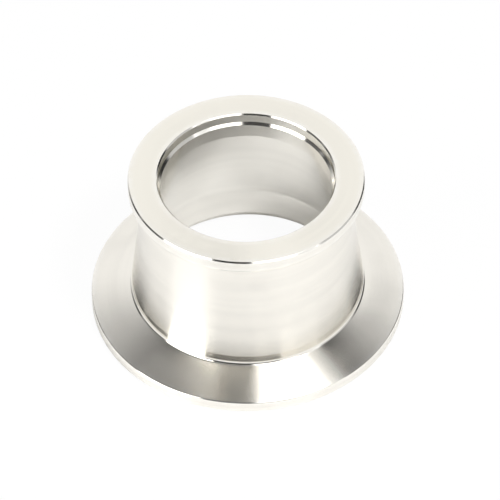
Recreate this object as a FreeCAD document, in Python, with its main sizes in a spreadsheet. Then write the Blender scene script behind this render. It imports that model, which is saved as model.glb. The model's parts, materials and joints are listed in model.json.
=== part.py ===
# Vacuum conical reducer: one turned body with a clamp flange at each end and a conical passage between them.
#
# Millimetres, with the turning axis on Z. The large flange's sealing face lies on Z = 0, where the part
# stands, and the small flange's sealing face looks up. Heights are measured from the large flange's sealing
# face and radii from the axis. Each end has a flat sealing face, a centring recess in that face, a short
# cylindrical rim and a sloping back that a clamp bears on.

import FreeCAD, Part
import math
import os
import Sketcher

# Driving sizes: alias, value in millimetres (degrees for the slope), meaning
SIZES = [
    ("overall_length", 40.0, "sealing face to sealing face"),
    ("rim_height", 3.0, "cylindrical rim of each flange"),
    ("back_slope", 15.0, "slope of each flange's back, in degrees"),
    ("back_rounding", 0.4, "rounding where each rim meets its sloping back"),
    ("recess_depth", 3.0, "depth of the centring recess in each sealing face"),
    ("edge_break", 0.3, "chamfer on the square edges of rims and bores"),
    ("large_bore", 48.0, "diameter of the passage at the large end"),
    ("large_bore_run", 8.0, "straight run of the passage above the large recess"),
    ("large_recess_step", 2.1, "width of the ledge that the large recess leaves round the bore"),
    ("large_wall", 3.25, "wall of the neck where it meets the large flange"),
    ("large_lip", 10.25, "reach of the large flange beyond the neck"),
    ("large_root_fillet", 1.5, "fillet between the neck and the large flange"),
    ("small_bore", 40.0, "diameter of the passage at the small end"),
    ("small_bore_run", 3.5, "straight run of the passage below the small recess"),
    ("small_recess_bevel", 0.6, "width and height of the bevel between the small recess and the bore"),
    ("small_wall", 4.25, "wall of the neck where it meets the small flange"),
    ("small_lip", 3.25, "reach of the small flange beyond the neck"),
    ("small_root_fillet", 1.0, "fillet between the neck and the small flange"),
]

# Radii and heights as formulas of the driving sizes
AXIS = "0"
LARGE_FACE = "0"
SMALL_FACE = "sizes.overall_length"

LARGE_BORE_RADIUS = "sizes.large_bore / 2"
LARGE_RECESS_RADIUS = f"{LARGE_BORE_RADIUS} + sizes.large_recess_step"
LARGE_NECK_RADIUS = f"{LARGE_BORE_RADIUS} + sizes.large_wall"
LARGE_RIM_RADIUS = f"{LARGE_NECK_RADIUS} + sizes.large_lip"
LARGE_RIM_TOP = "sizes.rim_height"
LARGE_NECK_ROOT = f"{LARGE_RIM_TOP} + sizes.large_lip * tan(sizes.back_slope)"
LARGE_RECESS_FLOOR = "sizes.recess_depth"
LARGE_BORE_TOP = f"{LARGE_RECESS_FLOOR} + sizes.large_bore_run"

SMALL_BORE_RADIUS = "sizes.small_bore / 2"
SMALL_RECESS_RADIUS = f"{SMALL_BORE_RADIUS} + sizes.small_recess_bevel"
SMALL_NECK_RADIUS = f"{SMALL_BORE_RADIUS} + sizes.small_wall"
SMALL_RIM_RADIUS = f"{SMALL_NECK_RADIUS} + sizes.small_lip"
SMALL_RIM_UNDERSIDE = f"{SMALL_FACE} - sizes.rim_height"
SMALL_NECK_ROOT = f"{SMALL_RIM_UNDERSIDE} - sizes.small_lip * tan(sizes.back_slope)"
SMALL_BEVEL_FOOT = f"{SMALL_FACE} - sizes.recess_depth"
SMALL_BEVEL_TOP = f"{SMALL_BEVEL_FOOT} + sizes.small_recess_bevel"
SMALL_BORE_BOTTOM = f"{SMALL_BEVEL_FOOT} - sizes.small_bore_run"

# What stands in place of a rounding's formula at a corner that has none
SHARP = None

# Outside of the turned blank, from the axis out, up and back: corner, radius, height, rounding
BLANK_OUTLINE = [
    ("large_face_centre", AXIS, LARGE_FACE, SHARP),
    ("large_face_edge", LARGE_RIM_RADIUS, LARGE_FACE, SHARP),
    ("large_rim_top", LARGE_RIM_RADIUS, LARGE_RIM_TOP, "sizes.back_rounding"),
    ("large_neck_root", LARGE_NECK_RADIUS, LARGE_NECK_ROOT, "sizes.large_root_fillet"),
    ("small_neck_root", SMALL_NECK_RADIUS, SMALL_NECK_ROOT, "sizes.small_root_fillet"),
    ("small_rim_underside", SMALL_RIM_RADIUS, SMALL_RIM_UNDERSIDE, "sizes.back_rounding"),
    ("small_face_edge", SMALL_RIM_RADIUS, SMALL_FACE, SHARP),
    ("small_face_centre", AXIS, SMALL_FACE, SHARP),
]

# Space that is bored out of the blank: corner, radius, height, rounding
PASSAGE_OUTLINE = [
    ("large_mouth_centre", AXIS, LARGE_FACE, SHARP),
    ("large_recess_mouth", LARGE_RECESS_RADIUS, LARGE_FACE, SHARP),
    ("large_recess_floor", LARGE_RECESS_RADIUS, LARGE_RECESS_FLOOR, SHARP),
    ("large_bore_mouth", LARGE_BORE_RADIUS, LARGE_RECESS_FLOOR, SHARP),
    ("large_bore_top", LARGE_BORE_RADIUS, LARGE_BORE_TOP, SHARP),
    ("small_bore_bottom", SMALL_BORE_RADIUS, SMALL_BORE_BOTTOM, SHARP),
    ("small_bevel_foot", SMALL_BORE_RADIUS, SMALL_BEVEL_FOOT, SHARP),
    ("small_bevel_top", SMALL_RECESS_RADIUS, SMALL_BEVEL_TOP, SHARP),
    ("small_recess_mouth", SMALL_RECESS_RADIUS, SMALL_FACE, SHARP),
    ("small_mouth_centre", AXIS, SMALL_FACE, SHARP),
]

# Square edges that are broken with a small chamfer: radius, height
BROKEN_EDGES = [
    (LARGE_RIM_RADIUS, LARGE_FACE),
    (LARGE_RECESS_RADIUS, LARGE_FACE),
    (LARGE_BORE_RADIUS, LARGE_RECESS_FLOOR),
    (SMALL_RIM_RADIUS, SMALL_FACE),
    (SMALL_RECESS_RADIUS, SMALL_FACE),
]

# Two points of the model closer than this are the same point
SAME_POINT = 1e-4

# How constraints number a line's two ends, the sketch's origin and its axes
START_INDEX = 1
END_INDEX = 2
ORIGIN_INDEX = -1
HORIZONTAL_AXIS_INDEX = -1
VERTICAL_AXIS_INDEX = -2


def add_size_sheet(document):
    """Write the driving sizes to a sheet, one row each, and name each value's cell."""
    sheet = document.addObject("Spreadsheet::Sheet", "sizes")
    for row, (alias, value, meaning) in enumerate(SIZES, start=1):
        sheet.set(f"A{row}", alias)
        sheet.set(f"B{row}", str(value))
        sheet.set(f"C{row}", meaning)
        sheet.setAlias(f"B{row}", alias)
    document.recompute()


def value_of(feature, formula):
    """Return what a formula of the driving sizes gives, as a plain number."""
    return float(feature.evalExpression(formula))


def origin_plane(body, role):
    """Return one of the body's own origin planes."""
    return next(plane for plane in body.Origin.OriginFeatures if plane.Role == role)


def add_half_section(body, name, outline):
    """Draw a closed outline in the body's XZ plane, with each corner tied to its radius and height."""
    sketch = body.newObject("Sketcher::SketchObject", name)
    sketch.AttachmentSupport = [(origin_plane(body, "XZ_Plane"), "")]
    sketch.MapMode = "FlatFace"
    count = len(outline)
    corners = [
        FreeCAD.Vector(value_of(sketch, radius), value_of(sketch, height), 0)
        for _, radius, height, _ in outline
    ]
    bends = [
        bend_at(sketch, corners[index - 1], corners[index], corners[(index + 1) % count], rounding)
        for index, (_, _, _, rounding) in enumerate(outline)
    ]
    sides = [
        sketch.addGeometry(Part.LineSegment(bend["leave"], bends[(index + 1) % count]["arrive"]), False)
        for index, bend in enumerate(bends)
    ]
    for index, (corner, radius, height, rounding) in enumerate(outline):
        before, after = sides[index - 1], sides[index]
        if rounding is SHARP:
            sketch.addConstraint(Sketcher.Constraint("Coincident", before, END_INDEX, after, START_INDEX))
            vertex = after
        else:
            vertex = add_rounding(sketch, before, after, corners[index], bends[index], rounding)
        tie_to_origin(sketch, "DistanceX", vertex, f"{corner}_radius", radius)
        tie_to_origin(sketch, "DistanceY", vertex, f"{corner}_height", height)
    return sketch


def bend_at(sketch, previous_corner, corner, next_corner, rounding):
    """Return where an outline arrives at a corner and leaves it, and the arc between if it is rounded."""
    if rounding is SHARP:
        return {"arrive": corner, "leave": corner}
    radius = value_of(sketch, rounding)
    back = (previous_corner - corner).normalize()
    ahead = (next_corner - corner).normalize()
    half_angle = back.getAngle(ahead) / 2
    arrive = corner + back * (radius / math.tan(half_angle))
    leave = corner + ahead * (radius / math.tan(half_angle))
    centre = corner + (back + ahead).normalize() * (radius / math.sin(half_angle))
    turns_left = back.cross(ahead).z < 0
    first = arrive if turns_left else leave
    start_angle = math.atan2(first.y - centre.y, first.x - centre.x)
    end_angle = start_angle + math.pi - 2 * half_angle
    circle = Part.Circle(centre, FreeCAD.Vector(0, 0, 1), radius)
    arc = Part.ArcOfCircle(circle, start_angle, end_angle)
    return {"arrive": arrive, "leave": leave, "arc": arc, "turns_left": turns_left}


def add_rounding(sketch, before, after, corner, bend, rounding):
    """Join two sides with a tangent arc, and return the point that stays where the sides would meet."""
    arc = sketch.addGeometry(bend["arc"], False)
    arrive_end, leave_end = (START_INDEX, END_INDEX) if bend["turns_left"] else (END_INDEX, START_INDEX)
    sketch.addConstraint(Sketcher.Constraint("Tangent", before, END_INDEX, arc, arrive_end))
    sketch.addConstraint(Sketcher.Constraint("Tangent", arc, leave_end, after, START_INDEX))
    radius = sketch.addConstraint(Sketcher.Constraint("Radius", arc, value_of(sketch, rounding)))
    sketch.setExpression(f"Constraints[{radius}]", rounding)
    point = sketch.addGeometry(Part.Point(corner), True)
    sketch.addConstraint(Sketcher.Constraint("PointOnObject", point, START_INDEX, before))
    sketch.addConstraint(Sketcher.Constraint("PointOnObject", point, START_INDEX, after))
    return point


def tie_to_origin(sketch, direction, vertex, name, formula):
    """Hold a point at a formula's distance from the origin in one direction, or on the axis itself."""
    if formula == AXIS:
        axis = VERTICAL_AXIS_INDEX if direction == "DistanceX" else HORIZONTAL_AXIS_INDEX
        sketch.addConstraint(Sketcher.Constraint("PointOnObject", vertex, START_INDEX, axis))
        return
    value = value_of(sketch, formula)
    distance = Sketcher.Constraint(direction, ORIGIN_INDEX, START_INDEX, vertex, START_INDEX, value)
    sketch.renameConstraint(sketch.addConstraint(distance), name)
    sketch.setExpression(f"Constraints.{name}", formula)


def add_turned(body, kind, name, half_section):
    """Turn a half section a full circle round the axis, as material (Revolution) or as a cut (Groove)."""
    feature = body.newObject(f"PartDesign::{kind}", name)
    feature.Profile = half_section
    feature.ReferenceAxis = (half_section, ["V_Axis"])
    feature.Angle = 360.0
    body.Document.recompute()
    return feature


def ring_edge(feature, radius, height):
    """Return the name of the feature's circular edge round the axis at a radius and height."""
    centre = FreeCAD.Vector(0, 0, height)
    for number, edge in enumerate(feature.Shape.Edges, start=1):
        curve = edge.Curve
        if not isinstance(curve, Part.Circle):
            continue
        if abs(curve.Radius - radius) < SAME_POINT and (curve.Center - centre).Length < SAME_POINT:
            return f"Edge{number}"
    raise ValueError(f"{feature.Name} has no ring edge of radius {radius} at height {height}")


def add_chamfers(body, name, base, rings, size_formula):
    """Put a chamfer on each of the base feature's ring edges."""
    edges = [ring_edge(base, value_of(base, radius), value_of(base, height)) for radius, height in rings]
    feature = body.newObject("PartDesign::Chamfer", name)
    feature.Base = (base, edges)
    feature.setExpression("Size", size_formula)
    body.Document.recompute()
    return feature


def build_reducer(document):
    """Turn the blank, bore the passage through it and break the square edges."""
    body = document.addObject("PartDesign::Body", "conical_reducer")
    body.Label = "conical_reducer"

    blank_section = add_half_section(body, "blank_section", BLANK_OUTLINE)
    blank = add_turned(body, "Revolution", "turned_blank", blank_section)

    passage_section = add_half_section(body, "passage_section", PASSAGE_OUTLINE)
    passage = add_turned(body, "Groove", "bored_passage", passage_section)
    if passage.Shape.Volume >= blank.Shape.Volume:
        raise ValueError("the passage took nothing out of the blank")

    body.Tip = add_chamfers(body, "broken_edges", passage, BROKEN_EDGES, "sizes.edge_break")
    body.Placement = FreeCAD.Placement(FreeCAD.Vector(0, 0, 0), FreeCAD.Rotation())
    return body


def check_document(document, bodies):
    """Stop with a message if an object failed, a sketch is loose or a piece isn't one sound solid."""
    for item in document.Objects:
        faults = [state for state in item.State if state in ("Invalid", "Error")]
        if faults:
            raise ValueError(f"{item.Name} is {', '.join(faults)}")
        if item.isDerivedFrom("Sketcher::SketchObject") and not item.FullyConstrained:
            raise ValueError(f"{item.Name} isn't fully constrained")
    for body in bodies:
        shape = body.Shape
        if shape.isNull() or not shape.isValid():
            raise ValueError(f"{body.Label} has no valid shape")
        if len(shape.Solids) != 1:
            raise ValueError(f"{body.Label} isn't one solid")


def write_parts(bodies):
    """Write each piece to a file of its own name and print its size and volume."""
    os.makedirs("parts", exist_ok=True)
    for body in bodies:
        body.Shape.exportStep(f"parts/{body.Label}.step")
        box = body.Shape.optimalBoundingBox(False, False)
        size = f"{box.XLength:.2f} x {box.YLength:.2f} x {box.ZLength:.2f} mm"
        print(f"{body.Label}: {size}, volume {body.Shape.Volume:.0f} mm3, {len(body.Shape.Faces)} faces")


def main():
    document = FreeCAD.newDocument("vacuum_conical_reducer")
    add_size_sheet(document)
    bodies = [build_reducer(document)]
    document.recompute()
    check_document(document, bodies)
    write_parts(bodies)


main()
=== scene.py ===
"""Looks of the vacuum conical reducer: one turned steel body, its finish, and the studio it is seen in.

The file is laid out as an add-on and run as a script. Lengths are in metres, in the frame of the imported
model: the turning axis is Z, the part stands on Z = 0 on its large flange, and the camera looks along +Y
and down.
"""

import json
import math

import bpy
import numpy as np
from mathutils import Matrix, Vector


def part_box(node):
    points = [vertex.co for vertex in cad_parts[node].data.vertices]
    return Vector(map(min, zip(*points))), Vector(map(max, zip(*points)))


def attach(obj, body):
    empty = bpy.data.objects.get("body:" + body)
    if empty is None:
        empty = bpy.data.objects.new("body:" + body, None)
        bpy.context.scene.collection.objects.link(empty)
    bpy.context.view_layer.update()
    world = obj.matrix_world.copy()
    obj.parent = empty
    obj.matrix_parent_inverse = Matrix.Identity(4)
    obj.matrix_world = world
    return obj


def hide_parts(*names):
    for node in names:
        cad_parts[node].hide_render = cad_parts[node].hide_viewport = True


bl_info = {
    "name": "Vacuum conical reducer",
    "version": (1, 0, 0),
    "blender": (4, 5, 0),
    "location": "3D View > Sidebar > Reducer",
    "description": "Turned steel reducer with a wide and a narrow clamp flange, and its studio",
    "category": "Object",
}

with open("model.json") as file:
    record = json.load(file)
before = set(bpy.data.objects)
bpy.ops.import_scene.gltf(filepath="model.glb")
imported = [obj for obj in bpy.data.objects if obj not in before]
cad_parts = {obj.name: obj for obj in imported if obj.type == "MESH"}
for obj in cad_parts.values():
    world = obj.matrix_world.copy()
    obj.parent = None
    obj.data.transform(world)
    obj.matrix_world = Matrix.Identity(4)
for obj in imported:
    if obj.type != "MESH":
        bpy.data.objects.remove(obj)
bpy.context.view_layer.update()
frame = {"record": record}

NODE = "conical_reducer"
LOWEST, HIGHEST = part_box(NODE)
MOUNTS = {mount["name"]: mount for mount in frame["record"]["mounts"]}

# Kinds of machined surface
TURNED, FACED, BORED, FORMED = range(4)

# The steel of each kind, in the same order: name, setting with its colour, roughness, anisotropy, and depth
# of its tool marks beside those of the turned steel
STEELS = (
    ("turned_steel", "steel_colour", 0.234, 0.963, 1),
    ("faced_steel", "faced_colour", 0.12, 0.8, 1 / 4),
    # The bored steel's colour is painted lighter than the turned steel, as painted light in the shaded
    # passage
    ("bored_steel", "bored_lifted_colour", 0.193, 0.794, 1 / 2),
    ("formed_steel", "steel_colour", 0.12, 0.8, 1 / 4),
)

# A rounding this large or larger is cut by the round nose of a tool and comes out smoother
SMALLEST_FORMED = 0.0002

# A rounding has at least this many steps
FEWEST_STEPS = 2

# A corner that turns further than this gets rubbed where the metal stands out, and polished where it is an
# inner corner that the tool's nose forms. Rubbing and polish fade over these distances, in metres.
SHARP_TURN = math.radians(20)
WEAR_REACH = 0.0003
POLISH_REACH = 0.0025

# Names of the body's two maps, of which the second is left for textures to be baked into, and of the values
# at its points
RUN_MAP = "section_and_turn"
BAKE_MAP = "OFBake"
EDGE_WEAR = "edge_wear"
CORNER_POLISH = "corner_polish"

# Name of the studio sheets' map
SHEET_MAP = "sheet"


def mount_radius(name):
    """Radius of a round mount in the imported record, in metres."""
    return MOUNTS[name]["dims"]["r_mm"] / 1000


def length(name, description, default):
    """A property that holds a length in metres."""
    return bpy.props.FloatProperty(
        name=name, description=description, default=default, min=0.0, unit="LENGTH", precision=5
    )


def angle(name, description, degrees):
    """A property that holds an angle, whose default is given in degrees."""
    return bpy.props.FloatProperty(
        name=name, description=description, default=math.radians(degrees), unit="ROTATION"
    )


def colour(name, description, default):
    """A property that holds a linear colour."""
    return bpy.props.FloatVectorProperty(
        name=name, description=description, default=default, subtype="COLOR", size=3, min=0, max=1
    )


def share(name, description, default):
    """A property that holds a share from 0 to 1."""
    return bpy.props.FloatProperty(
        name=name, description=description, default=default, min=0, max=1, subtype="FACTOR"
    )


class ReducerSizes(bpy.types.PropertyGroup):
    """Sizes of the turned body."""

    overall_length: length("Overall length", "Sealing face to sealing face", HIGHEST.z - LOWEST.z)
    large_rim_radius: length("Large rim radius", "Radius of the large flange", HIGHEST.x)
    small_rim_radius: length(
        "Small rim radius", "Radius of the small flange", mount_radius("small_flange_rim")
    )
    large_recess_radius: length(
        "Large recess radius", "Radius of the centring recess under the large flange",
        mount_radius("large_centring_recess"),
    )
    small_recess_radius: length(
        "Small recess radius", "Radius of the centring recess in the small flange",
        mount_radius("small_centring_recess"),
    )
    rim_height: length("Rim height", "Height of each flange's cylindrical rim", 0.003)
    back_slope: angle("Back slope", "Slope of each flange's back", 15)
    back_rounding: length("Back rounding", "Rounding where each rim meets its back", 0.0004)
    recess_depth: length("Recess depth", "Depth of each centring recess", 0.003)
    edge_break: length("Edge break", "Chamfer on the square edges", 0.0003)
    edge_softness: length("Edge softness", "Rounding that deburring leaves on every edge", 0.00004)
    large_bore_radius: length("Large bore radius", "Radius of the passage at the large end", 0.024)
    large_bore_run: length("Large bore run", "Straight run above the large recess", 0.008)
    foot_radius: length("Foot radius", "Radius of the straight foot of the neck", 0.02755)
    foot_top: length("Foot top", "Height at which the straight foot ends and the neck narrows", 0.0081)
    foot_fillet: length("Foot fillet", "Fillet between the foot and the large flange", 0.001)
    small_bore_radius: length("Small bore radius", "Radius of the passage at the small end", 0.020)
    small_bore_run: length("Small bore run", "Straight run below the small recess", 0.0035)
    small_wall: length("Small wall", "Wall of the neck at the small flange", 0.00425)
    small_root_fillet: length("Small root fillet", "Fillet between neck and small flange", 0.001)
    longest_step: length("Longest step", "Longest step between two rings of the surface", 0.0015)
    widest_turn: angle("Widest turn", "Widest turn of the outline between two rings", 9)
    facets: bpy.props.IntProperty(
        name="Facets", description="Facets of the surface once round the axis", default=360, min=24
    )


class SteelFinish(bpy.types.PropertyGroup):
    """Colours and texture of the machined steel."""

    steel_colour: colour("Steel colour", "Bright stainless steel", (0.89, 0.862, 0.80))
    faced_colour: colour("Faced colour", "Steel of the sealing faces", (0.9, 0.87, 0.79))
    # Painted light: the passage's steel is lighter than the turned steel, to lift the shade inside the
    # passage
    bored_lifted_colour: colour("Bored colour", "Steel inside the passage", (0.91, 0.89, 0.838))
    rubbed_colour: colour(
        "Rubbed colour", "Steel where an edge has been rubbed bright", (0.93, 0.91, 0.86)
    )
    dull_share: share("Dull share", "How much darker the dullest turning bands are", 0.03)
    haze_share: share("Haze share", "How much darker the haze left by handling is", 0.03)
    mark_pitch: length("Mark pitch", "Spacing of the fine tool marks", 0.00022)
    feed_pitch: length("Feed pitch", "Advance of the tool in one turn", 0.0006)
    band_pitch: length("Band pitch", "Width of the broad bands that a tool pass leaves", 0.0035)
    mark_depth: length("Mark depth", "Depth of the tool marks", 0.0000002)
    patch_size: length("Patch size", "Width of a patch of haze", 0.02)
    grain_size: length("Grain size", "Width of the grain that breaks up a rubbed edge", 0.002)


class StudioSetup(bpy.types.PropertyGroup):
    """Camera, floor and light."""

    camera_distance: length("Camera distance", "Camera's distance from the axis", 0.50235)
    camera_height: length("Camera height", "Camera's height above the floor", 0.54753)
    camera_pitch: angle("Camera pitch", "How far the camera looks down", 46.663)
    camera_yaw: angle("Camera yaw", "How far the camera looks to the right", 0.077)
    camera_roll: angle("Camera roll", "How far the camera leans", -0.757)
    camera_lens: bpy.props.FloatProperty(
        name="Camera lens", description="Focal length", default=221.98, unit="CAMERA"
    )
    lamp_power: bpy.props.FloatProperty(
        name="Lamp power", description="Power of the soft lamp", default=2.55, unit="POWER"
    )
    fill_power: bpy.props.FloatProperty(
        name="Fill power", description="Power of the fill lamp", default=0.85, unit="POWER"
    )
    lamp_width: length("Lamp width", "Width of each lamp", 0.13)
    floor_colour: colour("Floor colour", "Paper under the part", (0.9, 0.9, 0.9))
    floor_size: length("Floor size", "Width of the floor", 4.0)
    floor_drop: length("Floor drop", "Gap that keeps floor and sealing face apart", 0.00005)


def body_outline(sizes):
    """Corners of the section, once round with the metal on the left: radius, height, rounding and kind.

    The kind is that of the run which leaves the corner, and of its rounding unless that is a large one.
    """
    slope = math.tan(sizes.back_slope)
    soft = sizes.edge_softness
    top = sizes.overall_length
    broken = sizes.edge_break
    small_neck = sizes.small_bore_radius + sizes.small_wall
    large_root = sizes.rim_height + (sizes.large_rim_radius - sizes.foot_radius) * slope
    small_back = top - sizes.rim_height
    small_root = small_back - (sizes.small_rim_radius - small_neck) * slope
    bevel = sizes.small_recess_radius - sizes.small_bore_radius
    bevel_foot = top - sizes.recess_depth
    return [
        (sizes.large_recess_radius + broken, 0, soft, FACED),
        (sizes.large_rim_radius - broken, 0, soft, FORMED),
        (sizes.large_rim_radius, broken, soft, TURNED),
        (sizes.large_rim_radius, sizes.rim_height, sizes.back_rounding, TURNED),
        (sizes.foot_radius, large_root, sizes.foot_fillet, FORMED),
        (sizes.foot_radius, sizes.foot_top, soft, TURNED),
        (small_neck, small_root, sizes.small_root_fillet, TURNED),
        (sizes.small_rim_radius, small_back, sizes.back_rounding, TURNED),
        (sizes.small_rim_radius, top - broken, soft, FORMED),
        (sizes.small_rim_radius - broken, top, soft, FACED),
        (sizes.small_recess_radius + broken, top, soft, FORMED),
        (sizes.small_recess_radius, top - broken, soft, BORED),
        (sizes.small_recess_radius, bevel_foot + bevel, soft, FORMED),
        (sizes.small_bore_radius, bevel_foot, soft, BORED),
        (sizes.small_bore_radius, bevel_foot - sizes.small_bore_run, soft, BORED),
        (sizes.large_bore_radius, sizes.recess_depth + sizes.large_bore_run, soft, BORED),
        (sizes.large_bore_radius, sizes.recess_depth + broken, soft, BORED),
        (sizes.large_bore_radius + broken, sizes.recess_depth, soft, BORED),
        (sizes.large_recess_radius, sizes.recess_depth, soft, BORED),
        (sizes.large_recess_radius, broken, soft, BORED),
    ]


def trace_outline(outline, longest_step, widest_turn):
    """Points, outward normals, kinds and bends along a closed outline whose corners are rounded.

    A rounding of radius r at a corner between two runs that turn by an angle a starts and ends
    r tan(a / 2) from the corner, and its points lie on a circle about the point that is r away from
    both runs. On a run the points are evenly spaced. The normal is the run's direction turned a quarter
    turn clockwise, and on a rounding it turns evenly from one run's to the next one's. The bend is the
    corner's turn at the points of its rounding, above 0 where the metal stands out, and 0 on a run.
    """
    radii, heights, roundings, corner_kinds = zip(*outline)
    corners = np.column_stack([radii, heights])
    arriving = corners - np.roll(corners, 1, axis=0)
    arriving /= np.linalg.norm(arriving, axis=1, keepdims=True)
    leaving = np.roll(arriving, -1, axis=0)
    cross = arriving[:, 0] * leaving[:, 1] - arriving[:, 1] * leaving[:, 0]
    turn = np.arctan2(cross, (arriving * leaving).sum(axis=1))
    reach = np.array(roundings) * np.tan(np.abs(turn) / 2)
    starts = corners - arriving * reach[:, None]
    ends = corners + leaving * reach[:, None]

    points, normals, kinds, bends = [], [], [], []
    for index, (rounding, kind) in enumerate(zip(roundings, corner_kinds)):
        side = math.copysign(1, turn[index])
        steps = max(FEWEST_STEPS, math.ceil(abs(turn[index]) / widest_turn))
        heading = math.atan2(arriving[index, 1], arriving[index, 0])
        headings = heading + np.linspace(0, turn[index], steps + 1)
        right = np.stack([np.sin(headings), -np.cos(headings)], axis=1)
        centre = starts[index] - right[0] * side * rounding
        points.append(centre + right * side * rounding)
        normals.append(right)
        kinds += [FORMED if rounding >= SMALLEST_FORMED else kind] * steps + [kind]
        bends += [turn[index]] * (steps + 1)

        run = starts[(index + 1) % len(outline)] - ends[index]
        count = math.ceil(np.linalg.norm(run) / longest_step)
        along = np.arange(1, count)[:, None] / count
        points.append(ends[index] + run * along)
        normals.append(np.repeat(right[-1:], len(along), axis=0))
        kinds += [kind] * len(along)
        bends += [0.0] * len(along)
    return np.concatenate(points), np.concatenate(normals), np.array(kinds), np.array(bends)


def nearness(points, chosen, reach):
    """Nearness of each outline point to the chosen ones: exp(-d / reach), with the nearest one d away."""
    distance = np.linalg.norm(points[:, None] - points[chosen][None], axis=2).min(axis=1)
    return np.exp(-distance / reach)


def revolve(name, points, normals, kinds, values, facets):
    """Turn a closed outline once round the Z axis, and return the mesh and the outline's length.

    The point at outline position (r, z) and angle a is (r cos a, r sin a, z). The mesh carries the
    outline's kinds as its materials and the named values at its points. Both maps have the distance
    along the outline, as a share of its length, across, and the share of the turn up.
    """
    rings = len(points)
    around = np.arange(facets) * (2 * math.pi / facets)
    circle = np.stack([np.cos(around), np.sin(around)], axis=1)

    def turned(flat):
        """The outline's pairs (r, z) at every angle."""
        across_axis = (flat[:, None, :1] * circle[None]).reshape(-1, 2)
        return np.column_stack([across_axis, np.repeat(flat[:, 1], facets)])

    ring, facet = np.divmod(np.arange(rings * facets), facets)
    next_ring = (ring + 1) % rings
    next_facet = (facet + 1) % facets
    corners = np.stack(
        [
            ring * facets + facet,
            ring * facets + next_facet,
            next_ring * facets + next_facet,
            next_ring * facets + facet,
        ],
        axis=1,
    )

    mesh = bpy.data.meshes.new(name)
    mesh.from_pydata(turned(points), [], corners)
    mesh.polygons.foreach_set("use_smooth", np.ones(len(corners), bool))
    mesh.polygons.foreach_set("material_index", kinds[ring])

    step = np.linalg.norm(np.roll(points, -1, axis=0) - points, axis=1)
    run = np.concatenate([[0], np.cumsum(step)]) / step.sum()
    across = np.stack([run[ring], run[ring], run[ring + 1], run[ring + 1]], axis=1)
    up = np.stack([facet, facet + 1, facet + 1, facet], axis=1) / facets
    for map_name in (RUN_MAP, BAKE_MAP):
        layer = mesh.uv_layers.new(name=map_name)
        layer.data.foreach_set("uv", np.stack([across, up], axis=2).ravel())

    for label, value in values.items():
        attribute = mesh.attributes.new(label, "FLOAT", "POINT")
        attribute.data.foreach_set("value", np.repeat(value, facets))
    mesh.normals_split_custom_set_from_vertices(turned(normals))
    return mesh, step.sum()


def new_material(name):
    """An empty node material, its tree, and its output node."""
    material = bpy.data.materials.new(name)
    material.use_nodes = True
    tree = material.node_tree
    tree.nodes.clear()
    return material, tree, tree.nodes.new("ShaderNodeOutputMaterial")


def feed(tree, value, socket):
    """Give a socket a link where the value is a socket, and a plain number otherwise."""
    if isinstance(value, bpy.types.NodeSocket):
        tree.links.new(value, socket)
    else:
        socket.default_value = value


def object_place(tree):
    """Place on the object, in its own coordinates."""
    return tree.nodes.new("ShaderNodeTexCoord").outputs["Object"]


def map_place(tree, map_name):
    """Place on one of the mesh's maps."""
    node = tree.nodes.new("ShaderNodeUVMap")
    node.uv_map = map_name
    return node.outputs["UV"]


def point_value(tree, name):
    """A named value that the mesh carries at its points."""
    node = tree.nodes.new("ShaderNodeAttribute")
    node.attribute_name = name
    return node.outputs["Fac"]


def maths(tree, operation, *values):
    """Result of one Math node."""
    node = tree.nodes.new("ShaderNodeMath")
    node.operation = operation
    for value, socket in zip(values, node.inputs):
        feed(tree, value, socket)
    return node.outputs["Value"]


def vector(tree, *values):
    """Vector made of three numbers."""
    node = tree.nodes.new("ShaderNodeCombineXYZ")
    for value, socket in zip(values, node.inputs):
        feed(tree, value, socket)
    return node.outputs["Vector"]


def parts_of(tree, source):
    """The three numbers of a vector."""
    node = tree.nodes.new("ShaderNodeSeparateXYZ")
    tree.links.new(source, node.inputs["Vector"])
    return node.outputs


# How strongly each finer layer of noise counts beside the one before it
NOISE_ROUGHNESS = 0.6


def noise(tree, place, scale, layers):
    """Smooth noise from 0 to 1, with its middle near 0.5, and with some finer layers added."""
    node = tree.nodes.new("ShaderNodeTexNoise")
    tree.links.new(place, node.inputs["Vector"])
    feed(tree, scale, node.inputs["Scale"])
    node.inputs["Detail"].default_value = layers
    node.inputs["Roughness"].default_value = NOISE_ROUGHNESS
    return node.outputs["Fac"]


def spread(tree, value, low, high, new_low=0.0, new_high=1.0):
    """A value moved from one range to another, smoothly and within the new range's ends."""
    node = tree.nodes.new("ShaderNodeMapRange")
    node.interpolation_type = "SMOOTHSTEP"
    for number, name in ((low, "From Min"), (high, "From Max"), (new_low, "To Min"), (new_high, "To Max")):
        feed(tree, number, node.inputs[name])
    tree.links.new(value, node.inputs["Value"])
    return node.outputs["Result"]


# Places of a Mix node's sockets for colours: the amount, the two colours, and the result
MIX_AMOUNT, MIX_FIRST, MIX_SECOND, MIX_RESULT = 0, 6, 7, 2


def blend_colours(tree, amount, first, second):
    """The first colour with an amount of the second mixed in."""
    node = tree.nodes.new("ShaderNodeMix")
    node.data_type = "RGBA"
    feed(tree, amount, node.inputs[MIX_AMOUNT])
    for value, place in ((first, MIX_FIRST), (second, MIX_SECOND)):
        is_socket = isinstance(value, bpy.types.NodeSocket)
        feed(tree, value if is_socket else (*value, 1), node.inputs[place])
    return node.outputs[MIX_RESULT]


def blend_shaders(tree, amount, first, second):
    """The first shader with an amount of the second mixed in."""
    node = tree.nodes.new("ShaderNodeMixShader")
    feed(tree, amount, node.inputs["Fac"])
    for shader, socket in zip((first, second), node.inputs[1:]):
        tree.links.new(shader, socket)
    return node.outputs["Shader"]


def glow(tree, strength):
    """A shader that glows plain white."""
    node = tree.nodes.new("ShaderNodeEmission")
    feed(tree, strength, node.inputs["Strength"])
    return node.outputs["Emission"]


def see_through(tree):
    """A shader that lets everything through."""
    return tree.nodes.new("ShaderNodeBsdfTransparent").outputs["BSDF"]


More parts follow.
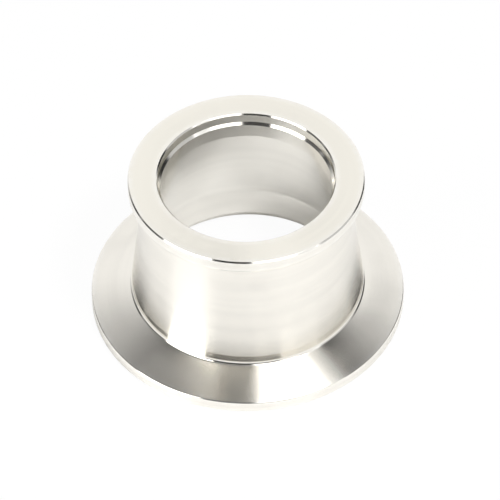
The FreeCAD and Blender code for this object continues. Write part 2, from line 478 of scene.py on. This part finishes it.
def new_group(name, inputs, outputs):
    """A node group with number sockets: its tree, its input sockets and its output sockets."""
    tree = bpy.data.node_groups.new(name, "ShaderNodeTree")
    for in_out, labels in (("INPUT", inputs), ("OUTPUT", outputs)):
        for label in labels:
            tree.interface.new_socket(label, in_out=in_out, socket_type="NodeSocketFloat")
    given = tree.nodes.new("NodeGroupInput").outputs
    wanted = tree.nodes.new("NodeGroupOutput").inputs
    return tree, given, wanted


def place_group(tree, group, **values):
    """Put a node group in a material with its own values, and return its outputs."""
    node = tree.nodes.new("ShaderNodeGroup")
    node.node_tree = group
    for label, value in values.items():
        feed(tree, value, node.inputs[label.replace("_", " ").capitalize()])
    return node.outputs


# Tool marks: how far a ring wanders through the noise in a metre across the axis, how high the feed's
# ripple and the broad bands are beside the fine rings, and where the bands' noise is bright and dull
RING_WANDER = 8.0
RIPPLE_HEIGHT = 0.12
BAND_HEIGHT = 1.5
BAND_RANGE = (0.3, 0.7)


def turning_marks():
    """Group: height and dullness of the rings that a lathe tool leaves.

    The distance along the section, divided by a pitch, is one coordinate of a noise, and the other two
    are the place across the axis, so each ring wanders a little on its way round and still closes. The
    fine rings, a sine at the tool's feed and the broad bands add up to the height.
    """
    tree, given, wanted = new_group(
        "turning_marks", ("Outline length", "Mark pitch", "Feed pitch", "Band pitch"), ("Height", "Bands")
    )
    share_along = parts_of(tree, map_place(tree, RUN_MAP))["X"]
    along = maths(tree, "MULTIPLY", share_along, given["Outline length"])
    x, y, _ = parts_of(tree, object_place(tree))
    wander_x = maths(tree, "MULTIPLY", x, RING_WANDER)
    wander_y = maths(tree, "MULTIPLY", y, RING_WANDER)

    def rings(pitch, layers):
        """Noise rings of the given pitch."""
        step = maths(tree, "DIVIDE", along, pitch)
        return noise(tree, vector(tree, step, wander_x, wander_y), 1.0, layers)

    fine = rings(given["Mark pitch"], 1)
    bands = rings(given["Band pitch"], 2)
    turn = maths(tree, "MULTIPLY", maths(tree, "DIVIDE", along, given["Feed pitch"]), 2 * math.pi)
    ripple = maths(tree, "MULTIPLY", maths(tree, "SINE", turn), RIPPLE_HEIGHT)
    broad = maths(tree, "MULTIPLY", bands, BAND_HEIGHT)
    height = maths(tree, "ADD", maths(tree, "ADD", fine, ripple), broad)
    tree.links.new(height, wanted["Height"])
    tree.links.new(spread(tree, bands, *BAND_RANGE), wanted["Bands"])
    return tree


# Values of the clouds' noise between which the haze sets in
HAZE_RANGE = (0.5, 0.72)


def handling_haze():
    """Group: soft cloudy patches that handling leaves on bright metal, from 0 to 1."""
    tree, given, wanted = new_group("handling_haze", ("Patch size",), ("Haze",))
    clouds = noise(tree, object_place(tree), maths(tree, "DIVIDE", 1.0, given["Patch size"]), 4)
    tree.links.new(spread(tree, clouds, *HAZE_RANGE), wanted["Haze"])
    return tree


# Values of the grain's noise between which an edge goes from this share of its rubbing to all of it
GRAIN_RANGE = (0.3, 0.65)
LEAST_RUBBED = 0.25


def rubbed_edges():
    """Group: how far an edge has been rubbed bright, from 0 to 1, broken up so that it isn't even."""
    tree, given, wanted = new_group("rubbed_edges", ("Grain size",), ("Rubbed",))
    grain = noise(tree, object_place(tree), maths(tree, "DIVIDE", 1.0, given["Grain size"]), 3)
    uneven = spread(tree, grain, *GRAIN_RANGE, LEAST_RUBBED)
    tree.links.new(maths(tree, "MULTIPLY", point_value(tree, EDGE_WEAR), uneven), wanted["Rubbed"])
    return tree


# Difference in roughness between dull and bright bands, roughness that haze adds, and that of polished steel
BAND_ROUGHNESS = 0.02
HAZE_ROUGHNESS = 0.03
POLISHED_ROUGHNESS = 0.13


def steel(name, metal, roughness, anisotropy, mark_depth, finish, groups, outline_length):
    """Machined steel whose tool marks run round the axis.

    The fine scratches of turning are far closer than the marks that show, so they are the shader's
    anisotropy, with the tangent along the section, and the marks that show are its bump. Towards the
    neck's fillets and the top of the bevel, where the tool slows down, the steel gets smoother.
    """
    material, tree, output = new_material(name)
    marks = place_group(
        tree, groups["turning_marks"], outline_length=outline_length, mark_pitch=finish.mark_pitch,
        feed_pitch=finish.feed_pitch, band_pitch=finish.band_pitch,
    )
    bands = marks["Bands"]
    haze = place_group(tree, groups["handling_haze"], patch_size=finish.patch_size)["Haze"]
    rubbed = place_group(tree, groups["rubbed_edges"], grain_size=finish.grain_size)["Rubbed"]

    dull_bands = maths(tree, "MULTIPLY", bands, finish.dull_share)
    dull = maths(tree, "ADD", dull_bands, maths(tree, "MULTIPLY", haze, finish.haze_share))
    tone = blend_colours(tree, dull, metal, (0.0, 0.0, 0.0))
    tone = blend_colours(tree, rubbed, tone, finish.rubbed_colour)

    rough_bands = maths(tree, "MULTIPLY", bands, BAND_ROUGHNESS)
    rough = maths(tree, "ADD", roughness - BAND_ROUGHNESS / 2, rough_bands)
    rough = maths(tree, "ADD", rough, maths(tree, "MULTIPLY", haze, HAZE_ROUGHNESS))
    polishing = max(0, roughness - POLISHED_ROUGHNESS)
    smoother = maths(tree, "MULTIPLY", point_value(tree, CORNER_POLISH), polishing)
    rough = maths(tree, "SUBTRACT", rough, smoother)

    bump = tree.nodes.new("ShaderNodeBump")
    bump.inputs["Distance"].default_value = mark_depth
    tree.links.new(marks["Height"], bump.inputs["Height"])
    tangent = tree.nodes.new("ShaderNodeTangent")
    tangent.direction_type = "UV_MAP"
    tangent.uv_map = RUN_MAP

    shader = tree.nodes.new("ShaderNodeBsdfPrincipled")
    shader.inputs["Metallic"].default_value = 1.0
    shader.inputs["Anisotropic"].default_value = anisotropy
    tree.links.new(tone, shader.inputs["Base Color"])
    tree.links.new(rough, shader.inputs["Roughness"])
    tree.links.new(bump.outputs["Normal"], shader.inputs["Normal"])
    tree.links.new(tangent.outputs["Tangent"], shader.inputs["Tangent"])
    tree.links.new(shader.outputs["BSDF"], output.inputs["Surface"])
    return material


class REDUCER_OT_turn_body(bpy.types.Operator):
    """Turn the body: both flanges, the neck between them and the passage through it"""

    bl_idname = "reducer.turn_body"
    bl_label = "Turn the body"

    def execute(self, context):
        sizes = context.scene.reducer_sizes
        finish = context.scene.steel_finish
        points, normals, kinds, bends = trace_outline(
            body_outline(sizes), sizes.longest_step, sizes.widest_turn
        )
        outer_edges = bends > SHARP_TURN
        inner_corners = (bends < -SHARP_TURN) & (kinds == FORMED)
        values = {
            EDGE_WEAR: nearness(points, outer_edges, WEAR_REACH),
            CORNER_POLISH: nearness(points, inner_corners, POLISH_REACH),
        }
        mesh, outline_length = revolve("turned_body", points, normals, kinds, values, sizes.facets)
        groups = {
            "turning_marks": turning_marks(),
            "handling_haze": handling_haze(),
            "rubbed_edges": rubbed_edges(),
        }
        for name, colour_setting, roughness, anisotropy, relative_depth in STEELS:
            metal = getattr(finish, colour_setting)
            depth = finish.mark_depth * relative_depth
            mesh.materials.append(
                steel(name, metal, roughness, anisotropy, depth, finish, groups, outline_length)
            )
        body = bpy.data.objects.new("turned_body", mesh)
        context.scene.collection.objects.link(body)
        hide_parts(NODE)
        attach(body, "root")
        return {"FINISHED"}


class REDUCER_OT_set_stage(bpy.types.Operator):
    """Set the studio: floor, surroundings, lamps and camera"""

    bl_idname = "reducer.set_stage"
    bl_label = "Set the stage"

    def execute(self, context):
        scene = context.scene
        studio = scene.studio_setup
        add_floor(scene, studio)
        add_surroundings(scene)
        for sheet in SHEETS:
            add_sheet(scene, studio.camera_pitch, *sheet)
        for name, power_setting, place in LAMPS:
            add_lamp(scene, name, getattr(studio, power_setting), studio.lamp_width, place)
        add_camera(scene, studio)
        scene.view_settings.view_transform = "Standard"
        return {"FINISHED"}


def ray_share(tree, camera_share, mirror_share, other_share=0.0):
    """A value for camera rays, another for rays of reflections and glass, and a third for other rays."""
    path = tree.nodes.new("ShaderNodeLightPath").outputs
    mirrored = maths(tree, "MAXIMUM", path["Is Glossy Ray"], path["Is Transmission Ray"])
    seen = maths(tree, "MULTIPLY", path["Is Camera Ray"], camera_share - other_share)
    reflected = maths(tree, "MULTIPLY", mirrored, maths(tree, "SUBTRACT", mirror_share, other_share))
    return maths(tree, "ADD", maths(tree, "ADD", seen, reflected), other_share)


# Floor: roughness of its paper, share of plain white over the paper that the camera sees, and the share
# that the metal mirrors close to the part and further out. That one rises between two distances from the
# axis, in metres, and its white glows a little brighter.
FLOOR_ROUGHNESS = 0.25
WHITE_SEEN = 0.95
WHITE_MIRRORED = (0.1, 0.6)
WHITE_RISE = (0.0385, 0.05)
MIRRORED_GLOW = 1.1


def add_floor(scene, studio):
    """A plain white floor that keeps the part's shadow, and isn't seen from below.

    The outside of the part mirrors the floor beyond it, which is evenly lit there: the share of plain
    white rises with the distance sqrt(x^2 + y^2) from the axis.
    """
    half = studio.floor_size / 2
    level = -studio.floor_drop
    mesh = bpy.data.meshes.new("floor")
    mesh.from_pydata(
        [(-half, -half, level), (half, -half, level), (half, half, level), (-half, half, level)],
        [], [(0, 1, 2, 3)],
    )
    material, tree, output = new_material("white_table")
    paper = tree.nodes.new("ShaderNodeBsdfPrincipled")
    paper.inputs["Base Color"].default_value = (*studio.floor_colour, 1)
    paper.inputs["Roughness"].default_value = FLOOR_ROUGHNESS
    x, y, _ = parts_of(tree, object_place(tree))
    squares = maths(tree, "ADD", maths(tree, "MULTIPLY", x, x), maths(tree, "MULTIPLY", y, y))
    mirrored_share = spread(tree, maths(tree, "SQRT", squares), *WHITE_RISE, *WHITE_MIRRORED)
    white_share = ray_share(tree, WHITE_SEEN, mirrored_share)
    white = glow(tree, ray_share(tree, 1.0, MIRRORED_GLOW))
    top = blend_shaders(tree, white_share, paper.outputs["BSDF"], white)
    from_below = tree.nodes.new("ShaderNodeNewGeometry").outputs["Backfacing"]
    surface = blend_shaders(tree, from_below, top, see_through(tree))
    tree.links.new(surface, output.inputs["Surface"])
    mesh.materials.append(material)
    floor = bpy.data.objects.new("floor", mesh)
    scene.collection.objects.link(floor)


# Studio sheets: name, glow in the metal, glow as a light, distance, and turns, tilts and fades in degrees. A
# sheet hangs where the camera sees it mirrored in metal that faces between the two turns and tilts. Turn 0
# faces the camera's side and 90 faces +X, tilt 0 faces sideways and 90 faces up. The fades are the widths
# over which it fades out at its first and second turn and at its first and second tilt.
SHEETS = (
    ("side_softbox", 3.2, 2.0, 0.8, (-44, -21), (12, 55), (2, 2, 4, 4)),
    ("side_softbox_head", 3.2, 2.0, 0.81, (-40, -16.5), (38, 56), (2, 2, 3, 4)),
    ("overhead_softbox", 5.0, 3.0, 0.8, (2, 31), (55, 82), (8, 7, 5, 3)),
    ("softbox_skirt", 0.9, 0.9, 0.82, (24, 40), (39, 86), (0, 8, 3, 3)),
    ("softbox_front", 2.0, 1.5, 0.82, (1, 38), (40, 60), (3, 3, 3, 0)),
    ("camera_flag", 0.05, 0.05, 0.85, (-23, 17), (29, 53), (2, 3, 2, 2)),
    ("left_flag", 0.12, 0.12, 0.85, (-66, -42), (38, 58), (8, 0, 4, 4)),
    ("far_left_flag", 0.08, 0.08, 0.86, (-95, -58), (37, 66), (27, 8, 5, 6)),
    ("near_right_flag", 0.6, 0.6, 0.85, (36, 68), (36, 58), (0, 10, 6, 4)),
    ("far_right_flag", 0.02, 0.02, 0.87, (56, 95), (40, 66), (10, 15, 5, 6)),
    ("overhead_strip", 0.22, 0.22, 0.85, (-23, -11), (57, 86), (5, 3, 4, 3)),
    ("left_overhead_flag", 0.13, 0.13, 0.9, (-95, 6), (54, 86), (62, 0, 3, 3)),
    ("right_overhead_flag", 0.11, 0.11, 0.9, (25, 82), (50, 86), (0, 44, 4, 3)),
)

# Points across and up a sheet
SHEET_COLUMNS, SHEET_ROWS = 24, 12


def mirrored_sight(pitch, turn, tilt):
    """Directions in which surfaces mirror the camera's line of sight, for arrays of turns and tilts.

    A surface that faces n sends the sight s on in the direction s - 2 (s . n) n.
    """
    sight = np.array([0, math.cos(pitch), -math.sin(pitch)])
    facing = np.stack(
        [np.cos(tilt) * np.sin(turn), -np.cos(tilt) * np.cos(turn), np.sin(tilt)], axis=-1
    )
    return sight - 2 * (facing @ sight)[..., None] * facing


def grid_faces(rows, columns):
    """Faces of a grid whose points are numbered along its rows."""
    start = (np.arange(rows - 1)[:, None] * columns + np.arange(columns - 1)).ravel()
    return np.stack([start, start + 1, start + columns + 1, start + columns], axis=1)


def add_sheet(scene, pitch, name, mirrored_glow, light_glow, distance, turns, tilts, fades):
    """A sheet of the studio, bright or dark, which only the metal and the light see."""
    turn, tilt = np.meshgrid(np.linspace(*turns, SHEET_COLUMNS), np.linspace(*tilts, SHEET_ROWS))
    directions = mirrored_sight(pitch, np.radians(turn), np.radians(tilt)).reshape(-1, 3)
    faces = grid_faces(SHEET_ROWS, SHEET_COLUMNS)
    mesh = bpy.data.meshes.new(name)
    mesh.from_pydata(distance * directions, [], faces)
    layer = mesh.uv_layers.new(name=SHEET_MAP)
    layer.data.foreach_set("uv", np.stack([turn.ravel(), tilt.ravel()], axis=1)[faces].ravel())

    material, tree, output = new_material(name)
    turned, tilted, _ = parts_of(tree, map_place(tree, SHEET_MAP))
    cover = 1.0
    for place, (low, high), (near, far) in ((turned, turns, fades[:2]), (tilted, tilts, fades[2:])):
        if near:
            cover = maths(tree, "MULTIPLY", cover, spread(tree, place, low, low + near))
        if far:
            cover = maths(tree, "MULTIPLY", cover, spread(tree, place, high, high - far))
    light = glow(tree, ray_share(tree, 0.0, mirrored_glow, light_glow))
    surface = blend_shaders(tree, cover, see_through(tree), light)
    tree.links.new(surface, output.inputs["Surface"])
    mesh.materials.append(material)
    panel = bpy.data.objects.new(name, mesh)
    panel.visible_camera = False
    scene.collection.objects.link(panel)


# Brightness of the surroundings as a light. The camera and the metal see them plain white.
ROOM_LIGHT = 0.42


def add_surroundings(scene):
    """White all round, and dimmer as a light than in the metal's reflections."""
    world = bpy.data.worlds.new("white_room")
    world.use_nodes = True
    scene.world = world
    tree = world.node_tree
    background = tree.nodes["Background"]
    background.inputs["Color"].default_value = (1, 1, 1, 1)
    feed(tree, ray_share(tree, 1.0, 1.0, ROOM_LIGHT), background.inputs["Strength"])


# Lamps: name, setting with its power, and place. The one in front on the right gives the part its faint
# shadow, and the weaker one low on the left lights the floor that the metal mirrors there.
LAMPS = (
    ("soft_lamp", "lamp_power", (0.26, -0.19, 0.63)),
    ("fill_lamp", "fill_power", (-0.52, -0.1, 0.26)),
)


def add_lamp(scene, name, power, width, place):
    """A soft lamp that shines at the part and isn't mirrored in it."""
    light = bpy.data.lights.new(name, "AREA")
    light.energy = power
    light.size = width
    lamp = bpy.data.objects.new(name, light)
    lamp.location = place
    lamp.rotation_euler = (-Vector(place)).to_track_quat("-Z", "Y").to_euler()
    lamp.visible_glossy = False
    scene.collection.objects.link(lamp)


def add_camera(scene, studio):
    """Place the camera in front of the part, looking down at it."""
    pitch, yaw, roll = studio.camera_pitch, studio.camera_yaw, studio.camera_roll
    ahead = Vector(
        (math.cos(pitch) * math.sin(yaw), math.cos(pitch) * math.cos(yaw), -math.sin(pitch))
    )
    level = Vector((math.cos(yaw), -math.sin(yaw), 0))
    upward = level.cross(ahead)
    right = level * math.cos(roll) + upward * math.sin(roll)
    up = upward * math.cos(roll) - level * math.sin(roll)
    camera = bpy.data.objects.new("camera", bpy.data.cameras.new("camera"))
    camera.data.lens = studio.camera_lens
    camera.data.sensor_width = 36
    camera.data.clip_start = 0.05
    camera.data.clip_end = 20
    turn = Matrix((right, up, -ahead)).transposed().to_4x4()
    place = Matrix.Translation((0, -studio.camera_distance, studio.camera_height))
    camera.matrix_world = place @ turn
    scene.collection.objects.link(camera)
    scene.camera = camera


class REDUCER_PT_panel(bpy.types.Panel):
    """Steps that build the reducer and its studio"""

    bl_label = "Vacuum conical reducer"
    bl_idname = "REDUCER_PT_panel"
    bl_space_type = "VIEW_3D"
    bl_region_type = "UI"
    bl_category = "Reducer"

    def draw(self, context):
        for operator in OPERATORS:
            self.layout.operator(operator.bl_idname)


SETTINGS = {
    "reducer_sizes": ReducerSizes,
    "steel_finish": SteelFinish,
    "studio_setup": StudioSetup,
}
OPERATORS = (REDUCER_OT_turn_body, REDUCER_OT_set_stage)


def register():
    """Add the settings to every scene, and the steps and their panel."""
    for settings in SETTINGS.values():
        bpy.utils.register_class(settings)
    for name, settings in SETTINGS.items():
        setattr(bpy.types.Scene, name, bpy.props.PointerProperty(type=settings))
    for item in (*OPERATORS, REDUCER_PT_panel):
        bpy.utils.register_class(item)


def unregister():
    """Take away what register adds, last things first."""
    for item in reversed((*OPERATORS, REDUCER_PT_panel)):
        bpy.utils.unregister_class(item)
    for name in SETTINGS:
        delattr(bpy.types.Scene, name)
    for settings in reversed(SETTINGS.values()):
        bpy.utils.unregister_class(settings)


def main():
    """Build the part and its studio."""
    register()
    bpy.ops.reducer.turn_body()
    bpy.ops.reducer.set_stage()


if __name__ == "__main__":
    main()
